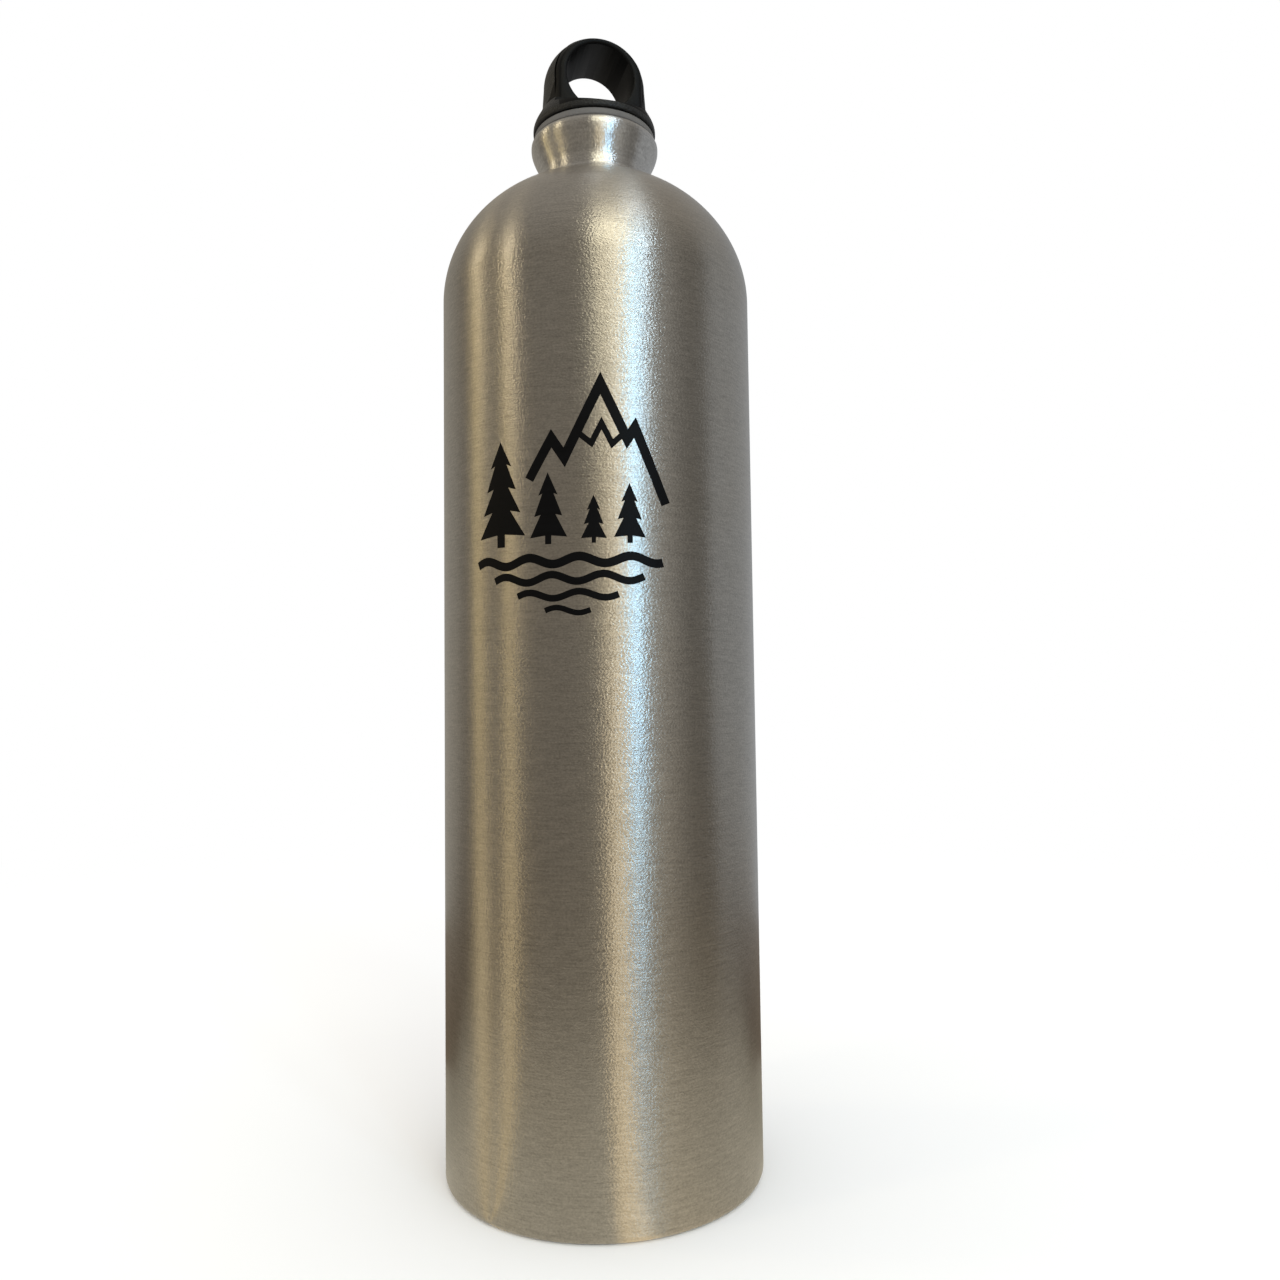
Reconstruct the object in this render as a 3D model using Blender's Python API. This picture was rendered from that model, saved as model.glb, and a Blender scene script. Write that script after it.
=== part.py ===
"""An aluminium drinking bottle of about one and a half litres, with a screw cap and a carrying loop.

The shell is drawn from one piece of aluminium: a base with a recess and a flat foot ring, a long
straight side, an elliptical shoulder and a short neck that swells into a bead. The neck's lip is rolled
in over a threaded insert, which the bead traps. The cap is one black moulding: a hollow stem with a
thread, a flange, and a bullet-shaped loop with a round hole. A ring gasket lies between the flange and
the lip, and a disc closes the hollow stem from below.

The origin is on the bottle's axis, at the floor. The loop's hole runs along Y.
"""

import math

import bmesh
import bpy
from mathutils import Matrix, Vector

MM = 0.001
FULL_TURN = 2 * math.pi
HALF_TURN = math.pi

# Facets: how finely round shapes are cut
TURN_STEPS = 48
CORNER_STEPS = 2
RECESS_STEPS = 5
SHOULDER_STEPS = 9
FLARE_STEPS = 5
DOME_STEPS = 9
HOLE_STEPS = 36
SMOOTH_ANGLE = math.radians(32)
MERGE_DISTANCE = 0.0001 * MM

# Clearances
SEAT_GAP = 0.3 * MM
CUT_OVERRUN = 2.0 * MM

# Bottle shell: body
BODY_RADIUS = 44.0 * MM
BODY_HEIGHT = 243.1 * MM
SHELL_WALL = 1.0 * MM
BASE_WALL = 1.4 * MM
BASE_CORNER = 2.0 * MM
FOOT_WIDTH = 3.0 * MM
BASE_RECESS = 7.0 * MM
SHOULDER_RISE = 38.0 * MM

# Bottle shell: neck
NECK_RADIUS = 15.85 * MM
NECK_FILLET = 3.0 * MM
NECK_LENGTH = 3.8 * MM
BEAD_SWELL = 2.7 * MM
BEAD_FLARE_HEIGHT = 8.4 * MM
BEAD_BAND_HEIGHT = 0.5 * MM
BEAD_ROUNDING = 1.6 * MM
MOUTH_MARGIN = 0.9 * MM
LIP_ROUNDING = 0.9 * MM
LIP_ROLL_DEPTH = 2.2 * MM

# Screw thread, right-handed, shared by the neck insert and the stem
THREAD_PITCH = 4.0 * MM
THREAD_DEPTH = 1.2 * MM
THREAD_CREST_WIDTH = 1.1 * MM
THREAD_ROOT_WIDTH = 2.1 * MM
THREAD_CLEARANCE = 0.3 * MM
INSERT_TURNS = 1.75
STEM_TURNS = 2.0
THREAD_FADE_TURNS = 0.125
RIDGE_BURIED = 0.5 * MM

# Threaded insert in the neck
INSERT_WALL = 1.15 * MM
INSERT_SKIRT = 1.9 * MM
INSERT_CHAMFER = 0.4 * MM
INSERT_THREAD_MARGIN = 1.6 * MM

# Gasket
GASKET_THICKNESS = 1.7 * MM
GASKET_SETBACK = 0.95 * MM
GASKET_ROUNDING = 0.45 * MM

# Cap: stem
STEM_LENGTH = 14.2 * MM
STEM_WALL = 2.7 * MM
STEM_ROOF_DROP = 0.8 * MM
STEM_CHAMFER = 0.6 * MM
BORE_CORNER = 1.0 * MM

# Cap: flange and loop
FLANGE_OVERHANG = 0.35 * MM
FLANGE_HEIGHT = 1.1 * MM
FLANGE_EDGE = 0.5 * MM
FLARE_HEIGHT = 7.1 * MM
FLARE_WIDTH = 2.6 * MM
LOOP_TAPER = 0.4 * MM
LOOP_DOME_RISE = 13.8 * MM
LOOP_THICKNESS = 18.0 * MM
LOOP_WALL = 5.05 * MM
HOLE_FLOOR_HEIGHT = 4.1 * MM
DECK_RIM_HEIGHT = 1.7 * MM
DECK_FOOT_HEIGHT = 4.8 * MM
DECK_FILLET = 1.2 * MM

# Disc that closes the hollow stem
CLOSURE_THICKNESS = 1.6 * MM
CLOSURE_RECESS = 0.8 * MM
CLOSURE_CHAMFER = 0.3 * MM

# Heights above the floor that follow from the sizes above
NECK_FOOT_HEIGHT = BODY_HEIGHT + SHOULDER_RISE * math.sqrt(1 - (NECK_RADIUS / BODY_RADIUS) ** 2)
BEAD_FOOT_HEIGHT = NECK_FOOT_HEIGHT + NECK_LENGTH
BEAD_HEIGHT = BEAD_FOOT_HEIGHT + BEAD_FLARE_HEIGHT
LIP_HEIGHT = BEAD_HEIGHT + BEAD_BAND_HEIGHT + BEAD_ROUNDING
INSERT_TOP_HEIGHT = LIP_HEIGHT - LIP_ROLL_DEPTH - SEAT_GAP
INSERT_BASE_HEIGHT = BEAD_FOOT_HEIGHT - INSERT_SKIRT
THREAD_START_HEIGHT = INSERT_BASE_HEIGHT + INSERT_THREAD_MARGIN
GASKET_HEIGHT = LIP_HEIGHT + SEAT_GAP
FLANGE_BASE_HEIGHT = GASKET_HEIGHT + GASKET_THICKNESS + SEAT_GAP

# Radii that follow from the sizes above
BEAD_RADIUS = NECK_RADIUS + BEAD_SWELL
INSERT_BORE_RADIUS = NECK_RADIUS - SHELL_WALL - SEAT_GAP - INSERT_WALL
MOUTH_RADIUS = INSERT_BORE_RADIUS + MOUTH_MARGIN
STEM_RADIUS = INSERT_BORE_RADIUS - THREAD_DEPTH - THREAD_CLEARANCE
STEM_BORE_RADIUS = STEM_RADIUS - STEM_WALL
GASKET_RADIUS = BEAD_RADIUS - GASKET_SETBACK
FLANGE_RADIUS = GASKET_RADIUS + FLANGE_OVERHANG
LOOP_ROOT_RADIUS = FLANGE_RADIUS - FLARE_WIDTH
LOOP_RADIUS = LOOP_ROOT_RADIUS - LOOP_TAPER
LOOP_HOLE_RADIUS = LOOP_RADIUS - LOOP_WALL
LOOP_CENTRE_HEIGHT = HOLE_FLOOR_HEIGHT + LOOP_HOLE_RADIUS

# Colours, as linear red, green and blue
ALUMINIUM = (0.46, 0.44, 0.41)
INSERT_METAL = (0.55, 0.54, 0.52)
BLACK_PLASTIC = (0.012, 0.012, 0.013)
GREY_SILICONE = (0.11, 0.105, 0.10)
DARK_PLASTIC = (0.02, 0.02, 0.021)


def clear_scene():
    """Remove whatever the open file holds."""
    for old in list(bpy.data.objects):
        bpy.data.objects.remove(old, do_unlink=True)


def make_material(name, colour, roughness, metallic):
    """A plain finish of one colour."""
    material = bpy.data.materials.new(name)
    material.use_nodes = True
    shader = material.node_tree.nodes["Principled BSDF"]
    shader.inputs["Base Color"].default_value = (*colour, 1)
    shader.inputs["Roughness"].default_value = roughness
    shader.inputs["Metallic"].default_value = metallic
    material.diffuse_color = (*colour, 1)
    return material


def make_frame(name, height, parent=None):
    """An empty on the bottle's axis, at a height above the floor, that carries other objects."""
    frame = bpy.data.objects.new(name, None)
    frame.parent = parent
    frame.location.z = height - (parent.matrix_world.translation.z if parent else 0)
    bpy.context.scene.collection.objects.link(frame)
    bpy.context.view_layer.update()
    return frame


def make_object(name, mesh_data, frame, material=None):
    """An object from a bmesh, seated at the origin of the frame that carries it."""
    mesh = bpy.data.meshes.new(name)
    mesh_data.to_mesh(mesh)
    mesh_data.free()
    mesh.shade_smooth()
    mesh.set_sharp_from_angle(angle=SMOOTH_ANGLE)
    if material:
        mesh.materials.append(material)
    part = bpy.data.objects.new(name, mesh)
    part.parent = frame
    bpy.context.scene.collection.objects.link(part)
    return part


def as_helper(part):
    """Turn an object into a hidden helper, which only shapes another one."""
    part.hide_render = True
    part.display_type = 'WIRE'
    return part


def combine(part, helper, operation):
    """Cut one object with a helper, or join the helper to it."""
    modifier = part.modifiers.new(f"{operation.lower()} {helper.name}", 'BOOLEAN')
    modifier.operation = operation
    modifier.solver = 'EXACT'
    modifier.object = helper


def plain(points):
    """Outline corners (radius, height, rounding) with no rounding, from (radius, height) points."""
    return [(radius, height, 0) for radius, height in points]


def eased(start, end, steps):
    """An S-shaped run from one point to another that is upright at both ends."""
    points = []
    for step in range(steps + 1):
        share = step / steps
        ease_share = share * share * (3 - 2 * share)
        radius = start[0] + (end[0] - start[0]) * ease_share
        height = start[1] + (end[1] - start[1]) * share
        points.append((radius, height))
    return points


def elliptical(centre_height, half_width, half_height, start, end, steps):
    """Points on an ellipse about the axis, from one angle above the horizontal to another."""
    points = []
    for step in range(steps + 1):
        angle = start + (end - start) * step / steps
        radius = half_width * math.cos(angle)
        points.append((max(radius, 0), centre_height + half_height * math.sin(angle)))
    return points


def rounded(corners):
    """An outline's points, with an arc of CORNER_STEPS facets at each corner that has a rounding."""
    points = []
    for index, (radius, height, rounding) in enumerate(corners):
        corner = Vector((radius, height))
        if not rounding:
            points.append(corner)
            continue
        to_last = (Vector(corners[index - 1][:2]) - corner).normalized()
        to_next = (Vector(corners[(index + 1) % len(corners)][:2]) - corner).normalized()
        half_angle = to_last.angle(to_next) / 2
        reach = rounding / math.tan(half_angle)
        centre = corner + (to_last + to_next).normalized() * rounding / math.sin(half_angle)
        first_arm = corner + to_last * reach - centre
        last_arm = corner + to_next * reach - centre
        sweep = math.atan2(first_arm.cross(last_arm), first_arm.dot(last_arm))
        for step in range(CORNER_STEPS + 1):
            turn = Matrix.Rotation(sweep * step / CORNER_STEPS, 2)
            points.append(centre + turn @ first_arm)
    return points


def turned(outline, closed):
    """A solid turned about the axis from an outline; a closed outline makes a ring."""
    shape = bmesh.new()
    corners = [shape.verts.new((radius, 0, height)) for radius, height in outline]
    edges = [shape.edges.new(pair) for pair in zip(corners, corners[1:])]
    if closed:
        edges.append(shape.edges.new((corners[-1], corners[0])))
    bmesh.ops.spin(shape, geom=corners + edges, cent=(0, 0, 0), axis=(0, 0, 1), dvec=(0, 0, 0),
                   angle=FULL_TURN, steps=TURN_STEPS, use_merge=True)
    bmesh.ops.remove_doubles(shape, verts=shape.verts, dist=MERGE_DISTANCE)
    bmesh.ops.recalc_face_normals(shape, faces=shape.faces)
    return shape


def thread_ridge(root_radius, crest_radius, start_height, start_angle, turns):
    """A ridge up a right-hand helix, sunk a little into its wall, that dives into it at both ends."""
    inward = math.copysign(1, root_radius - crest_radius)
    buried_radius = root_radius + inward * RIDGE_BURIED
    hidden_radius = root_radius + inward * RIDGE_BURIED / 2
    half_root = THREAD_ROOT_WIDTH / 2
    half_crest = THREAD_CREST_WIDTH / 2
    section = ((buried_radius, -half_root), (crest_radius, -half_crest),
               (crest_radius, half_crest), (buried_radius, half_root))
    shape = bmesh.new()
    corners = [shape.verts.new((radius, 0, start_height + rise)) for radius, rise in section]
    edges = [shape.edges.new((corners[index - 1], corners[index])) for index in range(len(corners))]
    between_facets = start_angle + FULL_TURN / TURN_STEPS / 2
    bmesh.ops.rotate(shape, verts=corners, cent=(0, 0, 0), matrix=Matrix.Rotation(between_facets, 3, 'Z'))
    steps = round(turns * TURN_STEPS)
    bmesh.ops.spin(shape, geom=corners + edges, cent=(0, 0, 0), axis=(0, 0, 1),
                   dvec=(0, 0, THREAD_PITCH / TURN_STEPS), angle=FULL_TURN * turns, steps=steps)
    ends = [edge for edge in shape.edges if edge.is_boundary]
    bmesh.ops.holes_fill(shape, edges=ends, sides=len(section))
    fade_steps = round(THREAD_FADE_TURNS * TURN_STEPS)
    for index, vertex in enumerate(shape.verts):
        step, place = divmod(index, len(section))
        if place in (0, len(section) - 1):
            continue
        height_share = min(1, step / fade_steps, (steps - step) / fade_steps)
        radius = hidden_radius + (crest_radius - hidden_radius) * height_share
        vertex.co.xy = vertex.co.xy.normalized() * radius
    bmesh.ops.recalc_face_normals(shape, faces=shape.faces)
    return shape


def shell_outline():
    """The shell's outline: up the outside from the base's centre, in at the lip, and down the inside."""
    foot_inner = BODY_RADIUS - BASE_CORNER - FOOT_WIDTH
    outer_recess = elliptical(0, foot_inner, BASE_RECESS, HALF_TURN / 2, 0, RECESS_STEPS)
    inner_recess = elliptical(0, foot_inner + BASE_WALL, BASE_RECESS + BASE_WALL,
                              math.asin(BASE_WALL / (BASE_RECESS + BASE_WALL)), HALF_TURN / 2, RECESS_STEPS)
    inner_body = BODY_RADIUS - SHELL_WALL
    inner_neck = NECK_RADIUS - SHELL_WALL
    inner_rise = SHOULDER_RISE - SHELL_WALL
    bead_band = BEAD_HEIGHT + BEAD_BAND_HEIGHT
    shoulder = elliptical(BODY_HEIGHT, BODY_RADIUS, SHOULDER_RISE,
                          0, math.acos(NECK_RADIUS / BODY_RADIUS), SHOULDER_STEPS)
    inner_shoulder = elliptical(BODY_HEIGHT, inner_body, inner_rise,
                                math.acos(inner_neck / inner_body), 0, SHOULDER_STEPS)
    bead_flare = eased((NECK_RADIUS, BEAD_FOOT_HEIGHT), (BEAD_RADIUS, BEAD_HEIGHT), FLARE_STEPS)
    inner_flare = eased((BEAD_RADIUS - SHELL_WALL, BEAD_HEIGHT), (inner_neck, BEAD_FOOT_HEIGHT), FLARE_STEPS)
    corners = plain(outer_recess)
    corners.append((BODY_RADIUS, 0, BASE_CORNER))
    corners += plain(shoulder[:-1])
    corners.append((*shoulder[-1], NECK_FILLET))
    corners += plain(bead_flare)
    corners.append((BEAD_RADIUS, LIP_HEIGHT, BEAD_ROUNDING))
    corners.append((MOUTH_RADIUS, LIP_HEIGHT, LIP_ROUNDING))
    corners.append((MOUTH_RADIUS, LIP_HEIGHT - LIP_ROLL_DEPTH, 0))
    corners.append((MOUTH_RADIUS + SHELL_WALL, LIP_HEIGHT - LIP_ROLL_DEPTH, 0))
    corners.append((MOUTH_RADIUS + SHELL_WALL, LIP_HEIGHT - SHELL_WALL, 0))
    corners.append((BEAD_RADIUS - BEAD_ROUNDING, LIP_HEIGHT - SHELL_WALL, 0))
    corners.append((BEAD_RADIUS - SHELL_WALL, bead_band, 0))
    corners += plain(inner_flare)
    corners.append((*inner_shoulder[0], NECK_FILLET + SHELL_WALL))
    corners += plain(inner_shoulder[1:])
    corners.append((inner_body, BASE_WALL, BASE_CORNER - SHELL_WALL))
    corners += plain(inner_recess)
    return rounded(corners)


def insert_outline():
    """The insert's outline: up its bore, out at the top and down inside the neck's bead."""
    outset = SHELL_WALL + SEAT_GAP
    flare = eased((BEAD_RADIUS - outset, BEAD_HEIGHT), (NECK_RADIUS - outset, BEAD_FOOT_HEIGHT), FLARE_STEPS)
    flare_top = INSERT_TOP_HEIGHT - 2 * INSERT_CHAMFER
    return rounded([
        (INSERT_BORE_RADIUS, INSERT_BASE_HEIGHT, INSERT_CHAMFER),
        (INSERT_BORE_RADIUS, INSERT_TOP_HEIGHT, INSERT_CHAMFER),
        (BEAD_RADIUS - outset, INSERT_TOP_HEIGHT, INSERT_CHAMFER),
        *plain(point for point in flare if point[1] < flare_top),
        (NECK_RADIUS - outset, INSERT_BASE_HEIGHT, INSERT_CHAMFER),
    ])


def gasket_outline():
    """The gasket's section, a flat ring with rounded edges, from its underside up."""
    inner = STEM_RADIUS + SEAT_GAP
    return rounded([
        (inner, 0, GASKET_ROUNDING),
        (GASKET_RADIUS, 0, GASKET_ROUNDING),
        (GASKET_RADIUS, GASKET_THICKNESS, GASKET_ROUNDING),
        (inner, GASKET_THICKNESS, GASKET_ROUNDING),
    ])


def cap_outline():
    """The cap before its loop is cut: up the stem's bore, out at its end, and up the outside to the top."""
    flare = eased((FLANGE_RADIUS, FLANGE_HEIGHT), (LOOP_ROOT_RADIUS, FLANGE_HEIGHT + FLARE_HEIGHT), FLARE_STEPS)
    dome = elliptical(LOOP_CENTRE_HEIGHT, LOOP_RADIUS, LOOP_DOME_RISE, 0, HALF_TURN / 2, DOME_STEPS)
    return rounded([
        (0, -STEM_ROOF_DROP, 0),
        (STEM_BORE_RADIUS, -STEM_ROOF_DROP, BORE_CORNER),
        (STEM_BORE_RADIUS, -STEM_LENGTH, 0),
        (STEM_RADIUS, -STEM_LENGTH, STEM_CHAMFER),
        (STEM_RADIUS, 0, 0),
        (FLANGE_RADIUS, 0, FLANGE_EDGE),
        *plain(flare),
        *plain(dome),
    ])


def closure_outline():
    """The closing disc's section, from the centre of its underside out and up."""
    radius = STEM_BORE_RADIUS - SEAT_GAP
    return rounded([
        (0, 0, 0),
        (radius, 0, CLOSURE_CHAMFER),
        (radius, CLOSURE_THICKNESS, CLOSURE_CHAMFER),
        (0, CLOSURE_THICKNESS, 0),
    ])


def side_cutter(side):
    """A block that cuts one flat of the loop, over a deck that falls from the flat's foot to the rim."""
    reach = FLANGE_RADIUS + CUT_OVERRUN
    top = LOOP_CENTRE_HEIGHT + LOOP_DOME_RISE + CUT_OVERRUN
    face = LOOP_THICKNESS / 2
    fall = (DECK_FOOT_HEIGHT - DECK_RIM_HEIGHT) / (FLANGE_RADIUS - face)
    rim = DECK_RIM_HEIGHT - fall * CUT_OVERRUN
    section = ((face, DECK_FOOT_HEIGHT), (reach, rim), (reach, top), (face, top))
    shape = bmesh.new()
    corners = [shape.verts.new((-reach, side * depth, height)) for depth, height in section]
    base = shape.faces.new(corners)
    grown = bmesh.ops.extrude_face_region(shape, geom=[base])["geom"]
    far_side = [item for item in grown if isinstance(item, bmesh.types.BMVert)]
    bmesh.ops.translate(shape, verts=far_side, vec=(2 * reach, 0, 0))
    foot = [edge for edge in shape.edges if is_foot_edge(edge, side * face)]
    bmesh.ops.bevel(shape, geom=foot, offset=DECK_FILLET, offset_type='OFFSET', segments=CORNER_STEPS,
                    profile=0.5, affect='EDGES', material=-1)
    bmesh.ops.recalc_face_normals(shape, faces=shape.faces)
    return shape


def is_foot_edge(edge, face_depth):
    """Whether an edge of the side cutter is the one along the foot of the loop's flat."""
    along = (edge.verts[1].co - edge.verts[0].co).normalized()
    middle = (edge.verts[0].co + edge.verts[1].co) / 2
    near_face = math.isclose(middle.y, face_depth, abs_tol=MERGE_DISTANCE)
    at_foot = math.isclose(middle.z, DECK_FOOT_HEIGHT, abs_tol=MERGE_DISTANCE)
    return near_face and at_foot and math.isclose(abs(along.x), 1, abs_tol=MERGE_DISTANCE)


def hole_cutter():
    """A rod along Y that cuts the loop's hole."""
    shape = bmesh.new()
    reach = 2 * (FLANGE_RADIUS + CUT_OVERRUN)
    bmesh.ops.create_cone(shape, cap_ends=True, segments=HOLE_STEPS, radius1=LOOP_HOLE_RADIUS,
                          radius2=LOOP_HOLE_RADIUS, depth=reach)
    bmesh.ops.rotate(shape, verts=shape.verts, cent=(0, 0, 0), matrix=Matrix.Rotation(HALF_TURN / 2, 3, 'X'))
    bmesh.ops.translate(shape, verts=shape.verts, vec=(0, 0, LOOP_CENTRE_HEIGHT))
    return shape


def lowered(shape, drop):
    """A bmesh moved down by a height."""
    bmesh.ops.translate(shape, verts=shape.verts, vec=(0, 0, -drop))
    return shape


def build_shell(frame):
    """The one-piece aluminium shell."""
    finish = make_material("brushed_aluminium", ALUMINIUM, 0.34, 1)
    return make_object("bottle_shell", turned(shell_outline(), closed=False), frame, finish)


def build_insert(frame):
    """The threaded ring trapped in the neck."""
    finish = make_material("insert_aluminium", INSERT_METAL, 0.3, 1)
    insert = make_object("neck_thread_insert", turned(insert_outline(), closed=True), frame, finish)
    ridge = thread_ridge(INSERT_BORE_RADIUS, INSERT_BORE_RADIUS - THREAD_DEPTH, THREAD_START_HEIGHT,
                         0, INSERT_TURNS)
    combine(insert, as_helper(make_object("insert_ridge", ridge, frame)), 'UNION')
    return insert


def build_gasket(frame):
    """The ring gasket under the cap's flange."""
    finish = make_material("grey_silicone", GREY_SILICONE, 0.55, 0)
    return make_object("cap_gasket", turned(gasket_outline(), closed=True), frame, finish)


def build_cap(frame):
    """The cap's moulding, whose stem ridge starts half a turn from the insert's, midway between its turns."""
    finish = make_material("black_plastic", BLACK_PLASTIC, 0.42, 0)
    cap = make_object("cap_body", turned(cap_outline(), closed=False), frame, finish)
    for side, name in ((-1, "front_cutter"), (1, "back_cutter")):
        combine(cap, as_helper(make_object(name, side_cutter(side), frame)), 'DIFFERENCE')
    combine(cap, as_helper(make_object("hole_cutter", hole_cutter(), frame)), 'DIFFERENCE')
    ridge = thread_ridge(STEM_RADIUS, STEM_RADIUS + THREAD_DEPTH, THREAD_START_HEIGHT, HALF_TURN, STEM_TURNS)
    ridge = lowered(ridge, FLANGE_BASE_HEIGHT)
    combine(cap, as_helper(make_object("stem_ridge", ridge, frame)), 'UNION')
    return cap


def build_closure(frame):
    """The disc in the end of the hollow stem."""
    finish = make_material("dark_plastic", DARK_PLASTIC, 0.5, 0)
    closure = make_object("stem_closure", turned(closure_outline(), closed=False), frame, finish)
    closure.location.z = CLOSURE_RECESS - STEM_LENGTH
    return closure


def main():
    """Build the bottle, its neck insert, and the cap with its gasket and closing disc."""
    clear_scene()
    floor_frame = make_frame("bottle_frame", 0)
    lift_frame = make_frame("cap_lift_frame", GASKET_HEIGHT, floor_frame)
    turn_frame = make_frame("cap_turn_frame", FLANGE_BASE_HEIGHT, lift_frame)
    build_shell(floor_frame)
    build_insert(floor_frame)
    build_gasket(lift_frame)
    build_cap(turn_frame)
    build_closure(turn_frame)


main()
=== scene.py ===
"""A brushed aluminium bottle with a black screw cap, dressed for a plain studio picture.

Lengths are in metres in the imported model's frame: +Z goes up the bottle's axis from the floor, and the
hole of the cap's loop runs along Y. The cap's own heights start at the underside of its flange.
"""

import logging
import math
from collections.abc import Iterable, Sequence
from dataclasses import dataclass, field
from enum import Enum

import bmesh
import bpy
from mathutils import Matrix, Vector


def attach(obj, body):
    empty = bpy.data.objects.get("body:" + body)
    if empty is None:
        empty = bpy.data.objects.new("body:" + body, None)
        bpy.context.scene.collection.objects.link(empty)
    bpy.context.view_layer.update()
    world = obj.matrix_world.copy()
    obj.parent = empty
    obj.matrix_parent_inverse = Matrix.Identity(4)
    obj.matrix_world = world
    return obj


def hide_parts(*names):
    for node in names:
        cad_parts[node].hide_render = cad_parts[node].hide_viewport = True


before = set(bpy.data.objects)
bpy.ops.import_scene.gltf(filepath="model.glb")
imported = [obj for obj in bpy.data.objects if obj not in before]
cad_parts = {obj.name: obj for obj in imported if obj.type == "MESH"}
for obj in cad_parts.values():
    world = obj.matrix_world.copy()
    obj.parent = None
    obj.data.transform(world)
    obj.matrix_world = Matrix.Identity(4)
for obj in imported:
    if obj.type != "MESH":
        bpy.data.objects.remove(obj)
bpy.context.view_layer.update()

MM = 0.001
FULL_TURN = 2 * math.pi
HALF_TURN = math.pi
QUARTER_TURN = math.pi / 2
MERGE_DISTANCE = 0.001 * MM
WHITE = (1.0, 1.0, 1.0, 1.0)

Colour = tuple[float, float, float]
Point = tuple[float, float]
Place = tuple[float, float, float]
Shape = bmesh.types.BMesh

log = logging.getLogger("bottle")


class Body(Enum):
    """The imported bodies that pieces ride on."""

    BOTTLE = "bottle"
    GASKET = "gasket"
    CAP = "cap"


class Join(Enum):
    """How a helper shape changes a piece."""

    CUT = "DIFFERENCE"
    ADD = "UNION"
    KEEP = "INTERSECT"


# Shader benches


class Wire:
    """A number or vector in a material, which Python's operators carry on through maths nodes."""

    def __init__(self, bench: "Bench", socket: bpy.types.NodeSocket) -> None:
        """Wrap one output socket.

        Args:
            bench: the material's bench, which makes the nodes.
            socket: the output socket that holds the value.
        """
        self.bench = bench
        self.socket = socket

    def __add__(self, other: "Wire | float") -> "Wire":
        """This value plus another."""
        return self.bench.maths("ADD", self, other)

    def __radd__(self, other: float) -> "Wire":
        """A number plus this value."""
        return self.bench.maths("ADD", other, self)

    def __sub__(self, other: "Wire | float") -> "Wire":
        """This value less another."""
        return self.bench.maths("SUBTRACT", self, other)

    def __rsub__(self, other: float) -> "Wire":
        """A number less this value."""
        return self.bench.maths("SUBTRACT", other, self)

    def __mul__(self, other: "Wire | float") -> "Wire":
        """This value times another."""
        return self.bench.maths("MULTIPLY", self, other)

    def __rmul__(self, other: float) -> "Wire":
        """A number times this value."""
        return self.bench.maths("MULTIPLY", other, self)

    def ramp(self, low: float, high: float) -> "Wire":
        """A smooth rise from 0 where this value is low to 1 where it is high."""
        settings = {"interpolation_type": "SMOOTHSTEP"}
        return self.bench.wire("ShaderNodeMapRange", "Result", settings,
                               {"Value": self, "From Min": low, "From Max": high})


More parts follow.
